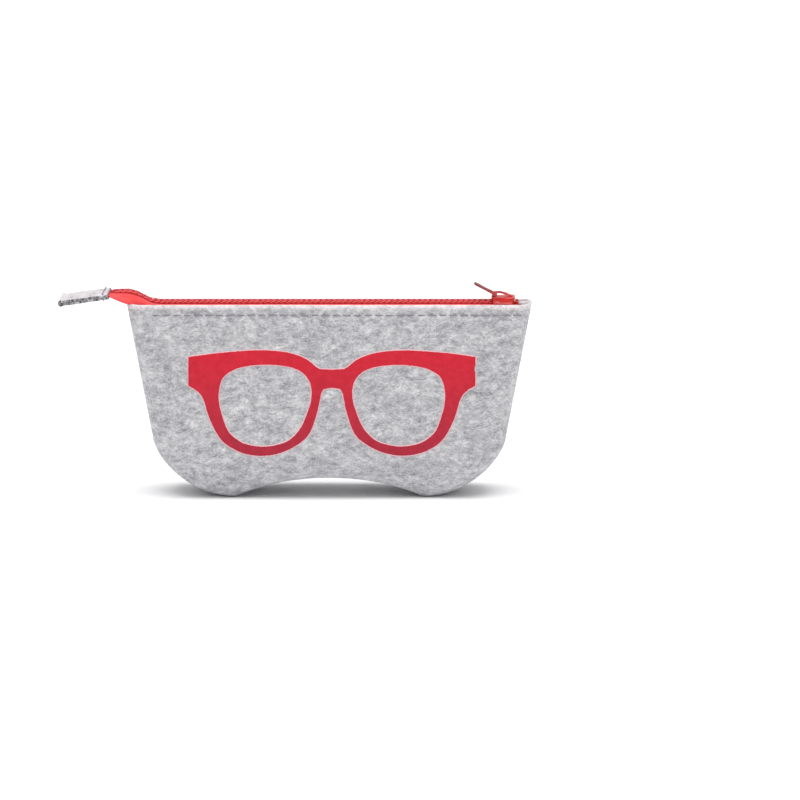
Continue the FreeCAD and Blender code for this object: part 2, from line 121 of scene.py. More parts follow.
# ---- curves and noise ----
def smooth_through(xs, values, at):
    """Cubic curve through values at xs, read at many places, which doesn't overshoot."""
    xs = np.asarray(xs, float)
    values = np.asarray(values, float)
    shape = (-1,) + (1,) * (values.ndim - 1)
    step = np.diff(xs).reshape(shape)
    slopes = np.diff(values, axis=0) / step
    product = slopes[:-1] * slopes[1:]
    mean = np.where(product > 0, 2 * product / np.where(product > 0, slopes[:-1] + slopes[1:], 1), 0)
    tangents = np.concatenate([slopes[:1], mean, slopes[-1:]])
    at = np.clip(np.asarray(at, float), xs[0], xs[-1])
    k = np.clip(np.searchsorted(xs, at, side="right") - 1, 0, len(xs) - 2)
    t = ((at - xs[k]) / (xs[k + 1] - xs[k])).reshape(shape)
    h = (xs[k + 1] - xs[k]).reshape(shape)
    a, b = values[k], values[k + 1]
    return (a * (1 + 2 * t) * (1 - t) ** 2 + b * t * t * (3 - 2 * t)
            + h * (tangents[k] * t * (1 - t) ** 2 - tangents[k + 1] * t * t * (1 - t)))


def step_between(low, high, value):
    t = np.clip((np.asarray(value, float) - low) / (high - low), 0, 1)
    return t * t * (3 - 2 * t)


def ripple(a, b, seed, waves=7):
    """Smooth noise from -1 to 1 over two coordinates, with features about one unit wide."""
    random = np.random.default_rng(seed)
    total = np.zeros(np.broadcast(a, b).shape)
    for _ in range(waves):
        angle, phase = random.uniform(0, 2 * math.pi, 2)
        size = random.uniform(0.6, 1.6)
        total += np.sin(size * (a * math.cos(angle) + b * math.sin(angle)) * 2 + phase)
    return total / waves * 1.6


def running_length(points, axis=0):
    """Distance covered along a line or grid of points, from 0 at the first."""
    steps = np.linalg.norm(np.diff(points, axis=axis), axis=-1)
    start = [(1, 0) if k == axis else (0, 0) for k in range(steps.ndim)]
    return np.pad(np.cumsum(steps, axis=axis), start)


# ---- outer form of the case ----
def half_width(z):
    waist = CORNER_CENTRE_X + CORNER_REACH
    straight = waist + (HALF_TOP - waist) * (z - CORNER_TOP) / (HEIGHT - CORNER_TOP)
    fall = np.clip((CORNER_TOP - z) / CORNER_TOP, 0, 1)
    corner = CORNER_CENTRE_X + CORNER_REACH * (1 - fall**CORNER_POWER) ** (1 / CORNER_POWER)
    return np.where(z >= CORNER_TOP, straight, corner)


def half_depth(z):
    """Half-depth of the case at height z over a flat base, with no arch."""
    wall = FULL_HALF_DEPTH - WALL_SLOPE * (z - BULGE_TOP)
    fall = np.clip((BULGE_TOP - z) / BULGE_TOP, 0, 1)
    base = BASE_HALF_DEPTH + BULGE_REACH * np.sqrt(1 - fall**2)
    blur = 0.5
    return -blur * np.log(np.exp(-wall / blur) + np.exp(-base / blur))


def arch(x):
    """Height of the arch between the feet."""
    radius = (ARCH_HALF_SPAN**2 + ARCH_HEIGHT**2) / (2 * ARCH_HEIGHT)
    inside = np.minimum(np.abs(x), ARCH_HALF_SPAN)
    rise_here = ARCH_HEIGHT - radius + np.sqrt(radius**2 - inside**2)
    edge = 4.0
    return rise_here * step_between(0, edge, ARCH_HALF_SPAN + edge / 2 - np.abs(x))


def arched(x, z):
    """Height of a point once the middle of the base is lifted into the arch."""
    return z + arch(x) * (1 - np.clip(z / ARCH_FADE, 0, 1)) ** 2


def before_arch(x, z):
    """Height that arched() turns into z."""
    flat = z
    for _ in range(12):
        flat = z - arch(x) * (1 - np.clip(flat / ARCH_FADE, 0, 1)) ** 2
    return flat


def inward(x, z):
    """Unit vector from the case's outline into it, in the plane of the seams."""
    u = np.clip((np.abs(x) - CORNER_CENTRE_X) / CORNER_REACH, 0, 1)
    v = np.clip((CORNER_TOP - z) / CORNER_TOP, 0, 1)
    nx = -np.sign(x) * np.maximum(u, 1e-9) ** (CORNER_POWER - 1) / CORNER_REACH
    nz = v ** (CORNER_POWER - 1) / CORNER_TOP
    high = z >= CORNER_TOP
    nx, nz = np.where(high, -np.sign(x), nx), np.where(high, 0, nz)
    low = (np.abs(x) <= CORNER_CENTRE_X) & (z < CORNER_TOP / 2)
    nx, nz = np.where(low, 0, nx), np.where(low, 1, nz)
    length = np.hypot(nx, nz)
    return nx / length, nz / length


def slack(x, z, seed):
    """Small outward swelling and hollows of the soft wall, in millimetres."""
    broad = 0.5 * ripple(x / 30, z / 22, seed) + 0.22 * ripple(x / 11, z / 9, seed + 1)
    edge = step_between(0, 14, half_width(z) - np.abs(x)) * step_between(2, 16, z)
    from_row = z - (HEIGHT - STITCH_DROP)
    groove = -0.38 * np.exp(-((from_row / 1.1) ** 2))
    pucker = 0.16 * np.cos(2 * math.pi * x / STITCH_PITCH) * np.exp(-((from_row / 2.2) ** 2))
    lean = -0.7 * (1 - step_between(0, 2.6, HEIGHT - z)) ** 2
    lumps = 0.07 * ripple(x / 1.9, z / 1.7, seed + 2, 12)
    sewn = step_between(86, 80, np.abs(x))
    calm = step_between(0, 9, HEIGHT - z) * 0.75 + 0.25
    return broad * edge * calm + (groove + pucker) * sewn + lean * edge + lumps


def wall_y(x, z, seed=WALL_SEED["front"]):
    """Outer face of the front wall, at its final height z."""
    flat = before_arch(x, z)
    return -half_depth(flat) - slack(x, flat, seed)


# ---- meshes ----
def grid_faces(rows, columns, offset=0, closed=False):
    """Quads of a grid whose points are numbered row by row."""
    faces = []
    for r in range(rows - 1):
        for c in range(columns if closed else columns - 1):
            d = (c + 1) % columns
            a = offset + r * columns
            b = a + columns
            faces.append((a + c, a + d, b + d, b + c))
    return faces


def point_normals(points, faces):
    normals = np.zeros_like(points)
    for size in (3, 4):
        these = np.array([f for f in faces if len(f) == size], int).reshape(-1, size)
        if len(these):
            across = points[these[:, 2]] - points[these[:, 0]]
            along = points[these[:, size - 1]] - points[these[:, 1]]
            n = np.cross(across, along)
            for corner in range(size):
                np.add.at(normals, these[:, corner], n)
    return normals / np.maximum(np.linalg.norm(normals, axis=1, keepdims=True), 1e-12)


def thicken(points, faces, thickness, bulge=0.3, rim=5, ragged=0.0, seed=0):
    """Closed sheet: the given outer face, a copy inside it, and a rounded edge all round.

    Returns points, faces, and for each point the number of the outer point that it came from.
    """
    points = np.asarray(points, float)
    count = len(points)
    normals = point_normals(points, faces)
    inner = points - normals * np.reshape(thickness, (-1, 1))
    sides = {}
    for face in faces:
        for a, b in zip(face, face[1:] + face[:1]):
            sides[(a, b)] = True
    border = [(a, b) for a, b in sides if (b, a) not in sides]
    after = dict(border)
    before = {b: a for a, b in border}
    random = np.random.default_rng(seed)
    rim_points, source, number = [], [], {}
    for a in after:
        along = points[after[a]] - points[before[a]]
        out = np.cross(along, normals[a])
        out /= max(np.linalg.norm(out), 1e-12)
        for k in range(1, rim):
            share = k / rim
            push = bulge * math.sin(math.pi * share) + ragged * random.normal()
            number[(a, k)] = 2 * count + len(rim_points)
            rim_points.append(points[a] * (1 - share) + inner[a] * share + out * push)
            source.append(a)
        number[(a, 0)], number[(a, rim)] = a, a + count
    skin = [tuple(f) for f in faces] + [tuple(i + count for i in f[::-1]) for f in faces]
    for a, b in border:
        for k in range(rim):
            skin.append((number[(b, k)], number[(a, k)], number[(a, k + 1)], number[(b, k + 1)]))
    everything = np.concatenate([points, inner, np.array(rim_points).reshape(-1, 3)])
    return everything, skin, np.concatenate([np.arange(count), np.arange(count), np.array(source, int)])


def welded(points, faces):
    """The same surface with points that coincide made one. Also gives the kept points' numbers."""
    _, kept, number = np.unique(np.round(points, 4), axis=0, return_index=True, return_inverse=True)
    number = number.ravel()
    clean = []
    for face in faces:
        ring = [number[i] for i in face]
        ring = [int(i) for i, following in zip(ring, ring[1:] + ring[:1]) if i != following]
        if len(set(ring)) > 2:
            clean.append(tuple(ring))
    return points[kept], clean, kept


def tube(path, radius, sides=8):
    """Closed tube round a line of points."""
    path = np.asarray(path, float)
    along = np.gradient(path, axis=0)
    along /= np.linalg.norm(along, axis=1, keepdims=True)
    side = np.cross(along[0], (0.123, 0.31, 0.94))
    rings = []
    radius = np.broadcast_to(radius, len(path))
    for here, tangent, r in zip(path, along, radius):
        side = side - tangent * side.dot(tangent)
        side /= np.linalg.norm(side)
        other = np.cross(tangent, side)
        angles = np.arange(sides) * 2 * math.pi / sides
        rings.append(here + r * (np.outer(np.cos(angles), side) + np.outer(np.sin(angles), other)))
    points = np.concatenate(rings)
    faces = grid_faces(len(path), sides, closed=True)
    faces.append(tuple(range(sides - 1, -1, -1)))
    faces.append(tuple(range(len(points) - sides, len(points))))
    return points, faces


def joined(parts):
    """One mesh from several."""
    points, faces, total = [], [], 0
    for part_points, part_faces in parts:
        points.append(np.asarray(part_points, float))
        faces += [tuple(i + total for i in f) for f in part_faces]
        total += len(part_points)
    return np.concatenate(points), faces


def mirrored(points, faces):
    return np.asarray(points) * (1, -1, 1), [f[::-1] for f in faces]


def on_side(side, points, faces):
    """The mesh as made for the front of the case, or its mirror image for the back."""
    return mirrored(points, faces) if side == "back" else (points, faces)


def placed(name, data):
    """New object in the scene that shows the given mesh, camera or light."""
    thing = bpy.data.objects.new(name, data)
    bpy.context.scene.collection.objects.link(thing)
    return thing


def store(data, name, values):
    """Give each point of a mesh a named value, or a named triple of values."""
    values = np.asarray(values, np.float32)
    triples = values.ndim == 2
    attribute = data.attributes.new(name, "FLOAT_VECTOR" if triples else "FLOAT", "POINT")
    attribute.data.foreach_set("vector" if triples else "value", values.ravel())


def add_piece(name, mesh, material, replaces=(), cloth=None, edge=None):
    """New object from (points, faces) in millimetres.

    cloth gives each point's place on the flat cloth; edge is up to 1 where a painted highlight
    makes the felt pale beside a cut edge, and down to -1 where a cut edge is dark.
    """
    points, faces = mesh
    data = bpy.data.meshes.new(name)
    shift = np.array([CENTRE_X, 0, 0])
    data.from_pydata(((np.asarray(points) + shift) * MM).tolist(), [], [list(f) for f in faces])
    data.polygons.foreach_set("use_smooth", [True] * len(faces))
    if cloth is not None:
        store(data, "cloth", cloth * MM)
    if edge is not None:
        store(data, "edge", edge)
    piece = placed(name, data)
    data.materials.append(material)
    if replaces:
        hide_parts(*replaces)
    return piece


# ---- how pieces move ----
def opens_with_mouth(piece):
    """Bakes the piece's placement into its mesh."""
    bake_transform(piece)


def moves_with_wall(piece, side):
    if side == "front":
        opens_with_mouth(piece)
    else:
        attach(piece, "pouch")


def bends_with_tab(piece):
    """Bakes the piece's placement into its mesh."""
    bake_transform(piece)


# ---- materials ----
class Nodes:
    """Short way to write a material's node tree."""

    def __init__(self, name):
        self.material = bpy.data.materials.new(name)
        self.material.use_nodes = True
        self.tree = self.material.node_tree
        self.tree.nodes.clear()
        self.shader = self.add("ShaderNodeBsdfPrincipled")
        self.add("ShaderNodeOutputMaterial", Surface=self.shader.outputs[0])

    def add(self, kind, **settings):
        node = self.tree.nodes.new(kind)
        for key, value in settings.items():
            if key in node.inputs:
                self.feed(value, node.inputs[key])
            else:
                setattr(node, key, value)
        return node

    def feed(self, value, target):
        """Set a socket, or join it to another node's output."""
        if hasattr(value, "is_linked"):
            self.tree.links.new(value, target)
        else:
            target.default_value = value

    def set(self, **sockets):
        for name, value in sockets.items():
            self.feed(value, self.shader.inputs[name.replace("_", " ")])

    def object_place(self):
        return self.add("ShaderNodeTexCoord").outputs["Object"]

    def attribute(self, name, output="Fac"):
        return self.add("ShaderNodeAttribute", attribute_name=name).outputs[output]

    def cloth_place(self):
        return self.attribute("cloth", "Vector")

    def scaled(self, place, scale, rotation=(0, 0, 0), offset=(0, 0, 0)):
        node = self.add("ShaderNodeMapping", Vector=place, Scale=scale, Rotation=rotation, Location=offset)
        return node.outputs[0]

    def noise(self, place, scale, detail=2.0, roughness=0.5, output="Fac"):
        node = self.add("ShaderNodeTexNoise", Vector=place, Scale=scale, Detail=detail, Roughness=roughness)
        return node.outputs[output]

    def wave(self, place, direction, scale, distortion=0.0, detail=2.0):
        node = self.add("ShaderNodeTexWave", bands_direction=direction, Vector=place, Scale=scale,
                        Distortion=distortion, Detail=detail)
        return node.outputs["Fac"]

    def height_share(self, place, low, high):
        """0 where the place is at one height, in metres, to 1 where it is at the other."""
        height = self.add("ShaderNodeSeparateXYZ", Vector=place).outputs[2]
        limits = {"From Min": low, "From Max": high}
        return self.add("ShaderNodeMapRange", Value=height, **limits).outputs[0]

    def ramp(self, value, *stops):
        """Colour ramp; each stop is (position, colour or grey)."""
        node = self.add("ShaderNodeValToRGB")
        elements = node.color_ramp.elements
        while len(elements) < len(stops):
            elements.new(0.5)
        for element, (position, colour) in zip(elements, stops):
            element.position = position
            element.color = (*colour, 1) if hasattr(colour, "__len__") else (colour, colour, colour, 1)
        self.feed(value, node.inputs[0])
        return node.outputs[0]

    def mix(self, share, a, b):
        node = self.add("ShaderNodeMix", data_type="RGBA")
        self.feed(share, node.inputs[0])
        for socket, colour in ((node.inputs[6], a), (node.inputs[7], b)):
            self.feed((*colour, 1) if hasattr(colour, "__len__") else colour, socket)
        return node.outputs[2]

    def maths(self, operation, a, b=0.0):
        node = self.add("ShaderNodeMath", operation=operation)
        self.feed(a, node.inputs[0])
        self.feed(b, node.inputs[1])
        return node.outputs[0]

    def vector(self, operation, *values):
        node = self.add("ShaderNodeVectorMath", operation=operation)
        for value, socket in zip(values, node.inputs):
            self.feed(value, socket)
        return node.outputs[0]

    def bump(self, height, distance, strength=1.0, below=None):
        node = self.add("ShaderNodeBump", Height=height, Distance=distance, Strength=strength)
        if below is not None:
            self.feed(below, node.inputs["Normal"])
        return node.outputs[0]

    def finish(self, colour, normal):
        self.set(Base_Color=colour, Normal=normal)
        return self.material


def felt_pattern(nodes):
    """Heather felt: pale wool with darker and lighter fibres in short, bent, mostly level streaks."""
    place = nodes.cloth_place()
    centred = nodes.vector("SUBTRACT", nodes.noise(place, 90.0, 1.0, output="Color"), (0.5, 0.5, 0.5))
    bend = 0.006  # metres
    bent = nodes.vector("MULTIPLY_ADD", centred, (bend, bend, bend), place)
    level = nodes.scaled(bent, (0.62, 1, 1), rotation=(0, 0, 0.04))
    grain = nodes.noise(level, 330, 5.0, 0.88)
    colour = nodes.ramp(grain, (0.31, (0.16, 0.158, 0.176)), (0.5, (0.465, 0.46, 0.478)),
                        (0.67, (0.75, 0.745, 0.76)))
    clumps = nodes.noise(level, 105, 3.0, 0.7)
    colour = nodes.mix(nodes.ramp(clumps, (0.30, 0.40), (0.50, 0.0)), colour, (0.27, 0.266, 0.285))
    colour = nodes.mix(nodes.ramp(clumps, (0.52, 0.0), (0.70, 0.28)), colour, (0.78, 0.78, 0.79))
    fine = nodes.noise(level, 1700, 2.0, 0.7)
    colour = nodes.mix(nodes.ramp(fine, (0.30, 0.42), (0.48, 0.0)), colour, (0.22, 0.217, 0.235))
    colour = nodes.mix(nodes.ramp(fine, (0.54, 0.0), (0.72, 0.45)), colour, (0.80, 0.80, 0.81))
    dark, pale = (0.13, 0.126, 0.145), (0.70, 0.70, 0.715)
    # each set of fibres: noise scale and roughness, squeeze, turn, offset, thinnest, share and colour
    fibres = ((1000, 0.55, 0.34, 0.25, 0.0, 0.62, 0.40, dark),
              (800, 0.55, 0.40, -0.45, 0.3, 0.63, 0.34, dark),
              (1400, 0.55, 0.45, 0.9, 0.6, 0.62, 0.30, dark),
              (1100, 0.5, 0.35, 0.1, 1.7, 0.61, 0.4, pale),
              (1100, 0.5, 0.35, -0.7, 2.9, 0.61, 0.4, pale))
    for scale, roughness, squeeze, turn, offset, thinnest, share, fibre in fibres:
        turned = nodes.scaled(bent, (squeeze, 1, 1), rotation=(0, 0, turn), offset=(offset, offset, 0))
        amount = nodes.ramp(nodes.noise(turned, scale, 2.0, roughness), (thinnest, 0.0), (0.75, 1.0))
        colour = nodes.mix(nodes.maths("MULTIPLY", amount, share), colour, fibre)
    edge = nodes.attribute("edge")
    # painted highlight: where edge is above 0 the felt beside a cut edge is made pale and pinkish, as where
    # the edge catches the light
    painted_edge_highlight = nodes.maths("MULTIPLY", edge, nodes.ramp(grain, (0.3, 0.35), (0.55, 1.0)))
    colour = nodes.mix(painted_edge_highlight, colour, (0.93, 0.81, 0.81))
    speckled = nodes.maths("MULTIPLY", nodes.maths("MULTIPLY", edge, -1.0),
                           nodes.ramp(nodes.noise(place, 900, 2.0, 0.7), (0.4, 1.0), (0.6, 0.0)))
    colour = nodes.mix(speckled, colour, (0.07, 0.068, 0.08))
    return place, bent, colour


def felt_normal(nodes, place, bent):
    """Matted fibres over soft lumps."""
    lumps = nodes.bump(nodes.noise(place, 260, 2.0, 0.6), 0.0005, 0.55)
    fibres = nodes.noise(nodes.scaled(bent, (0.4, 1, 1), rotation=(0, 0, 0.3)), 2600, 3.0, 0.65)
    return nodes.bump(fibres, 0.00022, 0.8, lumps)


def felt_material():
    nodes = Nodes("grey_felt")
    place, bent, colour = felt_pattern(nodes)
    nodes.set(Roughness=0.95, Sheen_Weight=0.25, Sheen_Roughness=0.6, Sheen_Tint=(0.95, 0.95, 1.0, 1),
              Specular_IOR_Level=0.15)
    return nodes.finish(colour, felt_normal(nodes, place, bent))


def print_material():
    """Ink pressed into the felt, darker towards the base, over a pale base coat."""
    nodes = Nodes("red_print")
    place = nodes.object_place()
    cloudy = nodes.noise(place, 300, 3.0, 0.6)
    upper = nodes.ramp(cloudy, (0.3, (0.56, 0.010, 0.027)), (0.7, (0.65, 0.017, 0.038)))
    lower = nodes.ramp(cloudy, (0.3, (0.36, 0.015, 0.034)), (0.7, (0.44, 0.022, 0.046)))
    colour = nodes.mix(nodes.height_share(place, 0.062, 0.024), upper, lower)
    fibres = nodes.noise(nodes.scaled(place, (0.4, 1, 1)), 2600, 3.0, 0.65)
    colour = nodes.mix(nodes.ramp(fibres, (0.54, 0.0), (0.74, 0.45)), colour, (0.36, 0.010, 0.024))
    ink = nodes.attribute("ink")
    frayed = nodes.maths("ADD", ink, nodes.maths("MULTIPLY", nodes.noise(place, 1800, 2.0), 0.5))
    fringe = nodes.mix(fibres, (0.56, 0.33, 0.36), (0.88, 0.61, 0.64))
    colour = nodes.mix(nodes.ramp(frayed, (0.92, 0.0), (1.0, 1.0)), fringe, colour)
    nodes.set(Roughness=0.62, Specular_IOR_Level=0.25, Sheen_Weight=0.03)
    return nodes.finish(colour, nodes.bump(fibres, 0.00015, 0.6))


def tape_material():
    """Woven herringbone tape."""
    nodes = Nodes("zip_tape")
    place = nodes.cloth_place()
    twill = nodes.wave(place, "DIAGONAL", 620.0, distortion=0.6, detail=1.0)
    weave = nodes.maths("ADD", twill, nodes.maths("MULTIPLY", nodes.wave(place, "Y", 420.0), 0.5))
    cloudy = nodes.noise(place, 400, 2.0)
    colour = nodes.ramp(cloudy, (0.3, (0.78, 0.055, 0.06)), (0.7, (0.90, 0.085, 0.085)))
    colour = nodes.mix(nodes.ramp(weave, (0.1, 0.35), (0.6, 0.0)), colour, (0.45, 0.015, 0.02))
    nodes.set(Roughness=0.8, Sheen_Weight=0.15, Specular_IOR_Level=0.25)
    return nodes.finish(colour, nodes.bump(weave, 0.00012, 0.8))


def filament_material():
    """Satin polyester filament."""
    nodes = Nodes("zip_coil")
    cloudy = nodes.noise(nodes.object_place(), 700, 2.0)
    colour = nodes.ramp(cloudy, (0.3, (0.68, 0.06, 0.07)), (0.7, (0.80, 0.09, 0.10)))
    fine = nodes.noise(nodes.scaled(nodes.object_place(), (1, 0.15, 1)), 5000, 2.0)
    nodes.set(Roughness=0.42, Specular_IOR_Level=0.45, Coat_Weight=0.1, Coat_Roughness=0.3)
    return nodes.finish(colour, nodes.bump(fine, 0.00004, 0.4))


def thread_material(name, dark, pale):
    """Twisted thread."""
    nodes = Nodes(name)
    twist = nodes.wave(nodes.object_place(), "DIAGONAL", 900.0, distortion=1.0)
    colour = nodes.ramp(twist, (0.2, dark), (0.8, pale))
    nodes.set(Roughness=0.7, Sheen_Weight=0.2, Specular_IOR_Level=0.3)
    return nodes.finish(colour, nodes.bump(twist, 0.00008, 0.7))


def enamel_material():
    """Red enamel on cast metal, with painted shade: darker on the parts that stand up."""
    nodes = Nodes("red_metal")
    place = nodes.object_place()
    cloudy = nodes.noise(place, 500, 3.0)
    colour = nodes.ramp(cloudy, (0.3, (0.50, 0.012, 0.010)), (0.7, (0.64, 0.022, 0.014)))
    # painted shade: the pull and other parts standing above the slider's body are darkened, as if turned
    # from the light
    colour = nodes.mix(nodes.height_share(place, 0.0895, 0.0920), colour, (0.25, 0.045, 0.05))
    nodes.set(Roughness=0.3, Coat_Weight=0.15, Coat_Roughness=0.12, Specular_IOR_Level=0.4)
    return nodes.finish(colour, nodes.bump(nodes.noise(place, 1500, 2.0), 0.00003, 0.5))


FELT_LOOK = felt_material()
PRINT_LOOK = print_material()
TAPE_LOOK = tape_material()
COIL_LOOK = filament_material()
CORD_LOOK = thread_material("zip_cord", (0.45, 0.02, 0.03), (0.70, 0.06, 0.07))
COIL_THREAD_LOOK = thread_material("zip_thread", (0.50, 0.03, 0.04), (0.74, 0.08, 0.09))
GREY_THREAD_LOOK = thread_material("grey_thread", (0.17, 0.13, 0.18), (0.38, 0.32, 0.40))
METAL_LOOK = enamel_material()


# ---- felt panels ----
BACK_CUT_FROM = (37.0, 0, 0)  # the back panel is cut from another place of the same felt
TAB_CUT_FROM = 210.0


def section_columns(w, d, front_columns):
    """One horizontal section of the front panel, from the left seam to the right, as (x, y)."""
    r = PLAN_CORNER * d
    turn = np.linspace(0, math.pi / 2, 6)
    roll_y = SEAM_GAP + SEAM_ROLL * (1 - np.cos(turn))
    side_y = np.linspace(SEAM_GAP + SEAM_ROLL, d - r, 5)[1:]
    bend = np.linspace(0, math.pi / 2, 11)[1:]
    side = [(w, y) for y in np.concatenate([roll_y, side_y])]
    side += [(w - r + r * math.cos(a), d - r + r * math.sin(a)) for a in bend]
    front = [(x, d) for x in np.linspace(w - r, -(w - r), front_columns)[1:-1]]
    half = np.array(side)
    left = half * (-1, -1)
    middle = np.array(front) * (-1, -1)
    right = half[::-1] * (1, -1)
    return np.concatenate([left, middle, right])


def seam_curl(y):
    """How far the felt has turned into the seam at a distance y from the seam's plane."""
    q = np.clip(np.abs(y) - SEAM_GAP, 0, SEAM_ROLL)
    return SEAM_ROLL - np.sqrt(np.maximum(SEAM_ROLL**2 - (SEAM_ROLL - q) ** 2, 0))


def panel_rows():
    """Rows of points down the wall, then in under the base to the seam, and how many are on the wall."""
    front_columns = 150
    upper = np.linspace(HEIGHT - 0.2, CORNER_TOP, 52)
    middle = np.linspace(CORNER_TOP, BULGE_TOP, 9)[1:]
    lower = BULGE_TOP * (1 - np.cos(np.linspace(math.pi / 2, 0, 18)[1:]))
    heights = np.concatenate([upper, middle, lower])
    rows = []
    for z in heights:
        ring = section_columns(float(half_width(z)), float(half_depth(z)), front_columns)
        rows.append(np.column_stack([ring, np.full(len(ring), z)]))
    last = rows[-1]
    depth_here = -last[:, 1].min()
    steps = [0.85, 0.7, 0.55, 0.4, 0.28, 0.19, SEAM_ROLL / depth_here]
    steps += [SEAM_ROLL * (1 - math.cos(a)) / depth_here for a in np.linspace(math.pi / 2, 0, 6)[1:]]
    turned = (len(last) - front_columns) // 2
    spread = last[:, 0].copy()
    spread[:turned + 1] = np.linspace(-CORNER_CENTRE_X, last[turned, 0], turned + 1)
    spread[::-1][:turned + 1] = -spread[:turned + 1]
    for share in steps:
        row = last.copy()
        row[:, 0] = spread + (last[:, 0] - spread) * share
        row[:, 1] = -(SEAM_GAP + (-last[:, 1] - SEAM_GAP) * share)
        rows.append(row)
    return np.array(rows), len(heights)


def flat_places(rows):
    """Each point's place on the flat felt: across from the panel's middle, and down from the mouth."""
    lengths = running_length(rows[:, :, :2], axis=1)
    lengths -= lengths[:, -1:] / 2
    falls = running_length(rows[:, :, 1:])
    return np.column_stack([lengths.ravel(), -falls.ravel(), np.zeros(lengths.size)])


def softly_formed(points, on_wall, seed):
    """The points with the roll into the seam and the wall's slack."""
    x, y, z = points.T
    curl = seam_curl(y)
    nx, nz = inward(x, z)
    swell = np.where(on_wall, slack(x, z, seed) * step_between(0.0, 6.0, -y), 0)
    corner = PLAN_CORNER * half_depth(z)
    side_share = np.clip((np.abs(x) - (half_width(z) - corner)) / corner, 0, 1)
    out_x = np.sign(x) * side_share
    out_y = -np.sqrt(np.maximum(1 - side_share**2, 0))
    return np.column_stack([x + nx * curl + out_x * swell, y + out_y * swell, z + nz * curl])


def seam_points(rows, columns):
    """Numbers of the points along the seam: down one side, along the base and up the other side."""
    left = [r * columns for r in range(rows)]
    base = [(rows - 1) * columns + c for c in range(1, columns)]
    right = [r * columns + columns - 1 for r in range(rows - 2, -1, -1)]
    return left + base + right


def add_allowance(points, faces, cloth, seam, sx, sz):
    """The panel with its seam allowance, which runs from the seam straight into the case."""
    strips, strip_cloth = [], []
    outer = seam
    for level, depth in enumerate((0.6, 1.6, 2.8, ALLOWANCE)):
        step = np.column_stack([sx, np.zeros(len(seam)), sz]) * depth
        strips.append(points[seam] + step)
        strip_cloth.append(cloth[seam] - step[:, [0, 2, 1]])
        first = len(points) + level * len(seam)
        inner = list(range(first, first + len(seam)))
        for i in range(len(seam) - 1):
            faces.append((inner[i], inner[i + 1], outer[i + 1], outer[i]))
        outer = inner
    return np.concatenate([points] + strips), faces, np.concatenate([cloth] + strip_cloth)


def panel_mesh(seed):
    """Front panel: wall, rounded base and the allowance turned inside. Returns mesh and cloth places."""
    rows, wall_rows = panel_rows()
    count, columns = rows.shape[:2]
    drawn = rows.reshape(-1, 3)
    on_wall = np.arange(len(drawn)) < wall_rows * columns
    points = softly_formed(drawn, on_wall, seed)
    faces = [f[::-1] for f in grid_faces(count, columns)]
    seam = seam_points(count, columns)
    sx, sz = inward(drawn[seam, 0], drawn[seam, 2])
    points, faces, cloth = add_allowance(points, faces, flat_places(rows), seam, sx, sz)
    points[:, 2] = arched(points[:, 0], points[:, 2])
    points, faces, kept = welded(points, faces)
    return points, faces, cloth[kept]


def add_panel(side):
    seed = WALL_SEED[side]
    points, faces, cloth = panel_mesh(seed)
    points, faces = on_side(side, points, faces)
    if side == "back":
        cloth = cloth * (-1, 1, 1) + BACK_CUT_FROM
    fall = -cloth[:, 1]
    points, faces, source = thicken(points, faces, FELT, bulge=0.22, rim=6, ragged=0.05, seed=seed)
    # painted highlight: a pale band along the panel's top cut edge, where it catches the light from above,
    # weaker on its rounded rim
    painted_edge_highlight = (0.62 * (1 - step_between(0.6, 2.2, fall)))[source]
    painted_edge_highlight[2 * len(fall):] *= 0.4
    panel = add_piece(f"felt_{side}", (points, faces), FELT_LOOK, [f"{side}_panel"],
                      cloth[source], painted_edge_highlight)
    moves_with_wall(panel, side)


# ---- print ----
PRINT_X = 1.2
BRIDGE_Z = 53.5
PRINT_LIFT = 0.13
FRINGE = 0.7  # the pale base coat shows this far beyond the red
BROW = [(5.2, 4.1), (7.0, 5.0), (9.2, 6.8), (12.0, 8.7), (16.0, 10.3), (22.0, 11.7), (31.0, 12.3),
        (40.0, 12.0), (52.0, 11.0), (63.7, 9.5)]
HINGE = [(63.7, -2.9), (60.6, -4.6), (58.2, -6.8), (56.5, -10.0)]
RIM = [(56.5, -10.0), (55.1, -15.0), (52.6, -21.0), (48.7, -27.0), (42.9, -31.0), (37.3, -33.0),
       (31.5, -33.6), (26.0, -33.0), (19.7, -31.0), (13.0, -27.0), (9.6, -22.8), (6.9, -15.2),
       (5.7, -10.0), (4.9, -6.3), (3.8, -4.4)]
BRIDGE_OVER = [(-5.2, 4.1), (0, 3.9), (5.2, 4.1)]
BRIDGE_UNDER = [(3.8, -4.4), (0, -3.8), (-3.8, -4.4)]
LENS = [(50.4, -4.8), (49.0, 0.0), (46.0, 2.9), (40.5, 5.2), (32.0, 6.3), (24.0, 6.1), (18.0, 5.1),
        (13.0, 2.8), (9.9, -1.0), (8.9, -5.0), (9.1, -9.5), (10.8, -15.0), (14.0, -22.0),
        (19.0, -27.0), (24.5, -29.1), (31.0, -29.9), (37.4, -29.0), (41.9, -27.0), (46.4, -22.8),
        (49.4, -15.0), (50.5, -9.5)]


def rounded(points, closed=False, step=0.8):
    """Points along a smooth curve through the given ones."""
    points = np.asarray(points, float)
    n = len(points)
    ring = np.concatenate([points[-1:], points, points[:2]]) if closed else np.concatenate(
        [2 * points[:1] - points[1:2], points, 2 * points[-1:] - points[-2:-1]])
    out = []
    for k in range(n if closed else n - 1):
        a, b, c, d = ring[k:k + 4]
        t = np.linspace(0, 1, max(3, int(np.linalg.norm(c - b) / step)), endpoint=False)[:, None]
        out.append(0.5 * (2 * b + (c - a) * t + (2 * a - 5 * b + 4 * c - d) * t**2
                          + (3 * b - a - 3 * c + d) * t**3))
    if not closed:
        out.append(points[-1:])
    return np.concatenate(out)


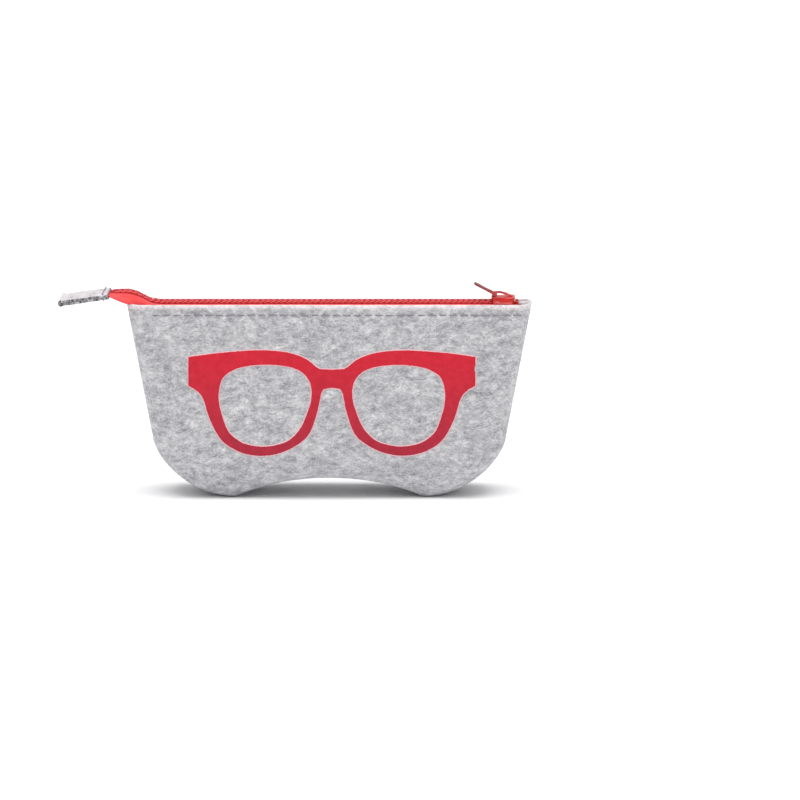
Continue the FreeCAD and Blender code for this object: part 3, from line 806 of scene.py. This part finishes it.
def print_outline():
    """Closed outline of the spectacle frame, anticlockwise, and its two lens openings."""
    side = np.concatenate([rounded(BROW), rounded(HINGE), rounded(RIM)[1:]])
    edge = [side, rounded(BRIDGE_UNDER)[1:-1], side[::-1] * (-1, 1), rounded(BRIDGE_OVER)[1:-1]]
    lens = rounded(LENS, closed=True)
    return np.concatenate(edge), [lens, lens * (-1, 1)]


def widened(loop, distance):
    """The same closed line moved outwards, or inwards for a negative distance."""
    along = np.roll(loop, -1, axis=0) - np.roll(loop, 1, axis=0)
    out = np.column_stack([along[:, 1], -along[:, 0]]) / np.linalg.norm(along, axis=1)[:, None]
    area = np.sum(loop[:, 0] * np.roll(loop[:, 1], -1) - loop[:, 1] * np.roll(loop[:, 0], -1))
    return loop + out * distance * np.sign(area)


def print_sheet():
    """The print laid flat: its points, its triangles, and whether each point is inked red."""
    outline, holes = print_outline()
    random = np.random.default_rng(11)
    inked = [loop + random.normal(0, 0.035, loop.shape) for loop in [outline] + holes]
    limits = [widened(outline, FRINGE)] + [widened(hole, -FRINGE) for hole in holes]
    flat, edges = [], []
    for loop in inked + limits:
        first = len(flat)
        flat += [Vector(p) for p in loop]
        edges += [(first + i, first + (i + 1) % len(loop)) for i in range(len(loop))]
    low, high = outline.min(axis=0), outline.max(axis=0)
    spacing = 1.6
    border = np.concatenate(inked)
    for x in np.arange(low[0], high[0], spacing):
        for z in np.arange(low[1], high[1], spacing):
            if clear_of(border, (x, z), 0.5) and in_print((x, z), outline, holes):
                flat.append(Vector((x, z)))
    points, _, triangles, _, _, _ = delaunay_2d_cdt(flat, edges, [], 0, 1e-5)
    places = np.array([tuple(p) for p in points])
    kept = [tuple(t) for t in triangles if in_print(places[list(t)].mean(axis=0), limits[0], limits[1:])]
    outer = np.concatenate(limits)
    return places, kept, np.array([clear_of(outer, p, 0.3) for p in places])


def add_print():
    """The red film and the pale base coat that shows as a fringe round it, as one thin sheet."""
    places, triangles, red = print_sheet()
    x, z = (places + (PRINT_X, BRIDGE_Z)).T
    skin = np.column_stack([x, wall_y(x, z) - PRINT_LIFT, z])
    a, b, c = (skin[[t[k] for t in triangles]] for k in range(3))
    faces = [t if turn < 0 else t[::-1] for t, turn in zip(triangles, np.cross(b - a, c - a)[:, 1])]
    skin, faces, number = welded(skin, faces)
    points, faces, source = thicken(skin, faces, PRINT_LIFT + 0.05, bulge=0.02, rim=2)
    piece = add_piece("glasses_print_film", (points, faces), PRINT_LOOK, ["glasses_print"])
    store(piece.data, "ink", red[number][source])
    opens_with_mouth(piece)


def clear_of(line, point, distance):
    """Whether a point is further than a distance from every point of a line."""
    return np.min(np.hypot(*(line - point).T)) > distance


def in_print(point, outline, holes):
    return inside(point, outline) and not any(inside(point, hole) for hole in holes)


def inside(point, loop):
    """Whether a point is inside a closed outline."""
    x, y = point
    ax, ay = loop.T
    bx, by = np.roll(loop, -1, axis=0).T
    crosses = (ay > y) != (by > y)
    at = ax + (y - ay) * (bx - ax) / np.where(by == ay, 1, by - ay)
    return bool(np.count_nonzero(crosses & (x < at)) % 2)


# ---- zip ----
def rise(x):
    """Height of the tape's middle over the felt's top edge."""
    inside_tab = TAB_RISE + (np.asarray(x, float) - TAB_X) * math.tan(TAB_DROOP)
    return np.where(np.asarray(x) < TAB_X, inside_tab, smooth_through(TAPE_PATH_X, TAPE_PATH_Z, x))


def parting(x):
    return PARTING * np.clip((np.asarray(x, float) - PARTS_FROM) / (PARTED_AT - PARTS_FROM), 0, 1)


def tape_lines():
    """At stations along the zip, the tape's section as (y, z) from its edge outwards and down."""
    hang = -MOUTH_HALF_DEPTH + FELT + TAPE / 2 + 0.1
    fall = 10.0
    foot = (hang - WALL_SLOPE * fall, -fall)
    level = [(-5.0, 0), (hang - 0.2, -1.5), foot]
    parted = [(-4.4, 0), (hang + PARTING - 0.25, -1.5), (foot[0] + PARTING, foot[1])]
    lines = {-117.0: [(-3.0, 0), (-5.2, 0), (-7.2, 0)],
             TAB_X - 1: [(-3.1, 0), (-5.6, 0), (-7.8, 0)],
             -94.0: [(-3.5, -0.3), (-6.5, -1.2), (-9.4, -2.1)],
             -90.0: [(-3.1, -0.6), (-5.6, -2.3), (-7.8, -3.9)],
             -86.0: [(-3.2, -0.8), (-5.0, -2.3), (-6.3, -4.6)],
             -82.5: [(-3.4, -0.4), (-5.6, -1.8), (-6.9, -6.4)],
             -79.0: [(-4.8, -0.1), (-6.9, -1.8), (-7.9, -8.6)],
             -75.0: level, PARTS_FROM: level, PARTED_AT: parted,
             TAPE_END: [(-4.0, 0), (-5.2, -1.5), (-5.8, foot[1])]}
    return {x: [(-TAPE_EDGE, 0)] + line for x, line in lines.items()}


def tape_sheet(first_x, last_x, seed):
    """Middle surface of the front tape between two places, and its cloth places.

    Below the zip it follows the felt it is sewn to.
    """
    lines = tape_lines()
    stations = sorted(lines)
    across = 19
    curves = np.array([smooth_through(np.linspace(0, 1, 4), lines[x], np.linspace(0, 1, across))
                       for x in stations])
    count = max(8, int((last_x - first_x) / 0.8))
    xs = np.linspace(first_x, last_x, count)
    sections = smooth_through(stations, curves, xs)
    ys = sections[:, :, 0] - parting(xs)[:, None]
    zs = sections[:, :, 1] + (HEIGHT + rise(xs))[:, None]
    share = np.linspace(0, 1, across)
    zs += 0.10 * ripple(xs[:, None] / 5, 2 * share[None, :], 21) * share**2
    between_seams = step_between(-78, -71, xs) * step_between(82, 77, xs)
    sewn = between_seams[:, None] * step_between(0.8, 3.0, HEIGHT - zs)
    ys -= slack(xs[:, None], zs, seed) * sewn
    points = np.stack([np.broadcast_to(xs[:, None], ys.shape), ys, zs], axis=2)
    cloth = np.stack([points[:, :, 0], running_length(points, axis=1), np.zeros(ys.shape)], axis=2)
    return points.reshape(-1, 3), grid_faces(count, across), cloth.reshape(-1, 3)


def add_tape(side, first_x, last_x, part):
    points, faces, cloth = tape_sheet(first_x, last_x, WALL_SEED[side])
    points = points + point_normals(points, faces) * TAPE / 2
    points, faces, source = thicken(points, faces, TAPE, bulge=0.08, rim=3)
    node = [f"zipper_tape_{side}"] if part == "main" else []
    mesh = on_side(side, points, faces)
    return add_piece(f"zip_tape_{side}_{part}", mesh, TAPE_LOOK, node, cloth[source])


def coil_path(first_turn, turns, phase):
    """Middle line of the filament: flattened turns, each crossing to the next at the coil's back."""
    samples = 26
    t = np.arange(turns * samples + 1) / samples
    angle = 2 * math.pi * t
    around = angle % (2 * math.pi)
    shift = step_between(math.pi - 1.15, math.pi + 1.15, around)
    x = first_turn + phase - PITCH * (np.floor(t + 1e-9) + shift)
    middle_y = (COIL_HEAD - COIL_BACK) / 2
    reach_y = (COIL_HEAD + COIL_BACK) / 2 - FILAMENT
    reach_z = (COIL_TOP - COIL_FOOT) / 2 - FILAMENT * 0.8
    power = 0.7
    y = middle_y + reach_y * np.sign(np.cos(angle)) * np.abs(np.cos(angle)) ** power
    z = (COIL_TOP + COIL_FOOT) / 2 + reach_z * np.sign(np.sin(angle)) * np.abs(np.sin(angle)) ** power
    return x, y, z


def pressed_flat(x, z):
    """Height z of a point of the coil, where the coil is pressed flatter on its way to the tab."""
    return COIL_FOOT + (z - COIL_FOOT) * (1 - 0.4 * (1 - step_between(-84, -77, x)))


def add_coil(side, part):
    phase = 0 if side == "front" else -PITCH / 2
    first = CLOSED_END + 2 * PITCH
    boundary = math.floor((first - STUB_X) / PITCH)
    if part == "main":
        x, y, z = coil_path(first, boundary, phase)
    else:
        left = math.floor((first - (TAB_X + 0.9)) / PITCH) - boundary
        x, y, z = coil_path(first - boundary * PITCH, left, phase)
    path = np.column_stack([x, y - parting(x), HEIGHT + rise(x) + pressed_flat(x, z)])
    swollen = FILAMENT * (1 + 0.12 * np.clip(y / COIL_HEAD, 0, 1))
    mesh = on_side(side, *tube(path, swollen))
    node = [f"zipper_coil_{side}"] if part == "main" else []
    return add_piece(f"zip_coil_{side}_{part}", mesh, COIL_LOOK, node)


def add_line_along_coil(side, part, name, look, slot, radius, height, wave, first_x, last_x):
    """Cord or thread that runs along the coil."""
    x = np.arange(first_x, last_x, 0.35)
    y = -CORE_OFFSET - parting(x) + wave * 0.5 * np.sin(2 * math.pi * x / PITCH)
    z = pressed_flat(x, height) + wave * np.cos(4 * math.pi * x / PITCH)
    path = np.column_stack([x, y, HEIGHT + rise(x) + z])
    mesh = on_side(side, *tube(path, radius, sides=6))
    replaced = [f"{name}_{side}"] if part == "main" else []
    return add_piece(f"{name}_{side}_{part}", mesh, look, replaced)


def add_zip_part(side, part, first_x, last_x):
    lines = (("coil_core_cord", CORD_LOOK, "zip_cord", 0.26, (COIL_FOOT + COIL_TOP) / 2, 0.0),
             ("coil_thread", COIL_THREAD_LOOK, "zip_thread", 0.16, COIL_TOP + 0.08, 0.1))
    chain = (max(first_x, TAB_X + 0.5), min(last_x, COIL_END))
    tape = add_tape(side, first_x, last_x, part)
    pieces = [tape, add_coil(side, part)]
    pieces += [add_line_along_coil(side, part, *line, *chain) for line in lines]
    for piece in pieces:
        if part == "stub":
            bends_with_tab(piece)
        else:
            moves_with_wall(piece, side)


def add_zip():
    tab_inside = TAB_X - 17.5  # the tapes end just short of the tab's fold
    for side in ("front", "back"):
        add_zip_part(side, "main", STUB_X, TAPE_END)
        add_zip_part(side, "stub", tab_inside, STUB_X)


# ---- felt tab ----
TAB_FELT = 1.25
TAB_HALF_GAP = 0.35
TAB_STITCH_X = 2.2
TAB_SKEW = 0.06


def tab_axes(points):
    """From the tab's own axes (x from its open end to its fold, z up) to the case's."""
    u, v, w = np.asarray(points, float).T
    cos, sin = math.cos(TAB_DROOP), math.sin(TAB_DROOP)
    x = TAB_X - u * cos - w * sin + TAB_SKEW * v
    return np.column_stack([x, v, HEIGHT + TAB_RISE - u * sin + w * cos])


def tab_section(fold, outer):
    """Line along the strip: over the upper leaf, round the fold and back under the lower leaf."""
    leaf = np.linspace(0.12, fold, 30)
    turn = np.linspace(math.pi / 2, -math.pi / 2, 15)[1:-1]
    bend = [(fold + outer * math.cos(a), outer * math.sin(a)) for a in turn]
    return np.array([(u, outer) for u in leaf] + bend + [(u, -outer) for u in leaf[::-1]])


def add_tab():
    """Strip of felt folded over the tapes' ends, pinched under its stitches."""
    outer = TAB_HALF_GAP + TAB_FELT
    fold = (TAB_X - TAB_END - outer) / math.cos(TAB_DROOP)
    run = tab_section(fold, outer)
    across = np.linspace(-TAB_HALF_WIDTH + 0.1, TAB_HALF_WIDTH - 0.1, 30)
    u, v = np.meshgrid(run[:, 0], across, indexing="ij")
    w = np.broadcast_to(run[:, 1:], u.shape).copy()
    length = np.broadcast_to(running_length(run)[:, None], u.shape)
    pressed = step_between(5.5, TAB_HALF_WIDTH, np.abs(v)) * step_between(0, 1, fold + 0.3 - u)
    pinch = 0.22 * np.exp(-(((u - TAB_STITCH_X) / 1.2) ** 2))
    lumps = 0.16 * ripple(length / 6, v / 6, 31)
    swell = 0.12 * np.sin(math.pi * np.clip((u - 3) / (fold - 3), 0, 1))
    w += np.sign(w) * (lumps * step_between(0, 3, u) + swell * (1 - pressed) - pinch - 0.42 * pressed)
    points = tab_axes(np.stack([u, v, w], axis=2).reshape(-1, 3))
    faces = grid_faces(len(run), len(across))
    cloth = np.stack([length + TAB_CUT_FROM, v, np.zeros(u.shape)], axis=2).reshape(-1, 3)
    thickness = TAB_FELT - 0.02 - 0.1 * pressed.ravel()
    points, faces, source = thicken(points, faces, thickness, bulge=0.25, rim=6, ragged=0.07, seed=9)
    # painted highlight (0.3) on every face of the strip, and the dark speckle (-1) on its cut edges
    cut = np.where(np.arange(len(points)) < 2 * len(cloth), 0.3, -1.0)
    tab = add_piece("tab_felt", (points, faces), FELT_LOOK, ["end_tab"], cloth[source], cut)
    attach(tab, "tab")


def stitch(start, end, sink, outward, radius, dip=0.5):
    """One visible stitch: a thread that comes out of the cloth, lies on it and goes back in."""
    start, end, outward = (np.asarray(v, float) for v in (start, end, outward))
    shares = np.array([0.0, 0.04, 0.12, 0.25, 0.4, 0.6, 0.75, 0.88, 0.96, 1.0])
    depth = np.array([-dip, -0.2, 0.45, 0.9, 1, 1, 0.9, 0.45, -0.2, -dip])
    path = [start + (end - start) * s + outward * (d * radius - sink) for s, d in zip(shares, depth)]
    return tube(path, radius, sides=8)


def add_tab_stitches():
    surface = TAB_HALF_GAP + TAB_FELT - 0.2
    pitch, length, sink, radius = 3.6, 2.9, 0.05, 0.3
    row = []
    for k in range(5):
        v = -TAB_HALF_WIDTH + 1.2 + k * pitch
        for side in (1, -1):
            start, end = ((TAB_STITCH_X, at, side * surface) for at in (v, v + length))
            points, faces = stitch(start, end, sink, (0, 0, side), radius)
            row.append((tab_axes(points), [f[::-1] for f in faces]))
    piece = add_piece("tab_stitch_row", joined(row), GREY_THREAD_LOOK, ["tab_stitches"])
    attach(piece, "tab")


# ---- sewing threads ----
ROW_FROM, ROW_TO = -79.0, 82.0


def add_thread_row(name, side, row, node):
    piece = add_piece(name, on_side(side, *joined(row)), GREY_THREAD_LOOK, [node])
    moves_with_wall(piece, side)


def add_topstitch(side, inner):
    """Row of stitches beside the zip: needle thread outside, bobbin thread inside."""
    random = np.random.default_rng(41 + inner + (2 if side == "back" else 0))
    radius = 0.32
    row = []
    x = ROW_FROM
    while x < ROW_TO:
        length = STITCH_PITCH - 1.1 + random.uniform(-0.15, 0.15)
        ends_z = HEIGHT - STITCH_DROP + random.uniform(-0.12, 0.12, 2)
        y = wall_y(np.array([x, x + length]), ends_z, WALL_SEED[side])
        if inner:
            y = y + FELT + TAPE + 0.35
        outward = (0, 1 if inner else -1, 0)
        sink = 0.0 if inner else random.uniform(0.0, 0.42)
        row.append(stitch((x, y[0], ends_z[0]), (x + length, y[1], ends_z[1]), sink, outward, radius))
        x += STITCH_PITCH
    kind = "bobbin_" if inner else ""
    add_thread_row(f"topstitch_{kind}row_{side}", side, row, f"topstitch_{kind}{side}")


def seam_line():
    """Points along the sewing line, down the right side to the middle of the arch."""
    z = np.concatenate([np.linspace(HEIGHT - 4, CORNER_TOP, 40),
                        CORNER_TOP * (1 - np.sin(np.linspace(0, math.pi / 2, 60)[1:]))])
    x = half_width(z)
    nx, nz = inward(x, z)
    inset = SEAM_ROLL + ALLOWANCE * 0.5
    x = np.concatenate([x + nx * inset, np.linspace(CORNER_CENTRE_X, 0, 40)[1:]])
    z = np.concatenate([z + nz * inset, np.full(39, inset)])
    return np.column_stack([x, arched(x, z)])


def add_seam_thread(side):
    line = seam_line()
    lengths = running_length(line)
    y = -(SEAM_GAP + FELT)
    pitch, length, sink, radius = 3.6, 2.8, 0.03, 0.23
    row = []
    for start in np.arange(0, lengths[-1] - 3, pitch):
        x, z = (np.interp((start, start + length), lengths, values) for values in line.T)
        for sign in (1, -1):
            a, b = ((sign * x[k], y, z[k]) for k in (0, 1))
            row.append(stitch(a, b, sink, (0, -1, 0), radius))
    add_thread_row(f"seam_thread_row_{side}", side, row, f"seam_thread_{side}")


# ---- metal pieces ----
def softened(node_name, name, width, body, pillow=0.0):
    """Detailed copy of a cast piece: the frame's own shape with its edges rounded.

    pillow is the larger rounding, in millimetres, of the outer edges of its level faces.
    """
    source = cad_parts[node_name]
    data = source.data.copy()
    piece = placed(name, data)
    piece.matrix_world = source.matrix_world.copy()
    work = bmesh.new()
    work.from_mesh(data)
    bmesh.ops.remove_doubles(work, verts=work.verts, dist=1e-6)
    bmesh.ops.dissolve_limit(work, angle_limit=math.radians(1), verts=work.verts, edges=work.edges)
    if pillow:
        rims = [edge for edge in work.edges if edge.is_convex and borders_level_face(edge)]
        bmesh.ops.bevel(work, geom=rims, offset=pillow * MM, segments=5, profile=0.5, affect="EDGES",
                        clamp_overlap=True)
    work.to_mesh(data)
    work.free()
    bevel = piece.modifiers.new("soft_edges", "BEVEL")
    bevel.width = width * MM
    bevel.segments = 3
    bevel.limit_method = "ANGLE"
    bevel.angle_limit = math.radians(32)
    data.polygons.foreach_set("use_smooth", [True] * len(data.polygons))
    data.materials.clear()
    data.materials.append(METAL_LOOK)
    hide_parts(node_name)
    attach(piece, body)


def borders_level_face(edge):
    """Whether the edge runs between a wide level face and an upright one."""
    level = [f for f in edge.link_faces if abs(f.normal.z) > 0.999 and f.calc_area() > 20 * MM * MM]
    upright = [f for f in edge.link_faces if abs(f.normal.z) < 0.1]
    return len(level) == 1 and len(upright) == 1


# ---- the whole case ----
def build():
    for side in ("front", "back"):
        add_panel(side)
    add_print()
    add_zip()
    add_tab()
    add_tab_stitches()
    for side in ("front", "back"):
        add_topstitch(side, inner=0)
        add_topstitch(side, inner=1)
        add_seam_thread(side)
        softened(f"top_stop_{side}", f"zip_top_stop_{side}", 0.15, "pouch")
    softened("slider_body", "zip_slider", 0.12, "slider", pillow=0.62)
    softened("pull_tab", "zip_pull", 0.12, "pull")


# ---- camera, floor and light ----
VIEW_ELEVATION = math.radians(10.5)
VIEW_DISTANCE = 4.5
VIEW_WIDTH = 0.3573  # metres across the picture at the case
VIEW_TARGET = (0.0465, 0.0, 0.0413)
SENSOR = 36.0


def add_camera():
    data = bpy.data.cameras.new("camera")
    data.sensor_width = SENSOR
    data.lens = SENSOR * VIEW_DISTANCE / VIEW_WIDTH
    data.clip_end = 20
    camera = placed("camera", data)
    target = Vector(VIEW_TARGET)
    back = Vector((0, -math.cos(VIEW_ELEVATION), math.sin(VIEW_ELEVATION)))
    camera.location = target + back * VIEW_DISTANCE
    camera.rotation_euler = (target - camera.location).to_track_quat("-Z", "Y").to_euler()
    bpy.context.scene.camera = camera


def add_floor():
    nodes = Nodes("pale_floor")
    nodes.set(Base_Color=(0.95, 0.95, 0.955, 1), Roughness=0.9, Specular_IOR_Level=0.1)
    reach = 6.0
    corners = [(sx * reach, sy * reach, 0) for sx, sy in ((-1, -1), (1, -1), (1, 1), (-1, 1))]
    data = bpy.data.meshes.new("floor")
    data.from_pydata(corners, [], [(0, 1, 2, 3)])
    floor = placed("floor", data)
    data.materials.append(nodes.material)


def add_light():
    """Even white room with a broad soft light overhead, a little to the left and to the front."""
    world = bpy.data.worlds.new("studio")
    bpy.context.scene.world = world
    world.use_nodes = True
    background = world.node_tree.nodes["Background"]
    background.inputs["Color"].default_value = (1, 1, 1, 1)
    background.inputs["Strength"].default_value = 0.6
    data = bpy.data.lights.new("overhead", "SUN")
    data.energy = 2.6
    data.angle = math.radians(62)
    light = placed("overhead", data)
    light.rotation_euler = Vector((0.03, 0.05, -1)).to_track_quat("-Z", "Y").to_euler()
    bpy.context.scene.view_settings.view_transform = "Standard"


add_camera()
build()
add_floor()
add_light()

bpy.context.view_layer.update()
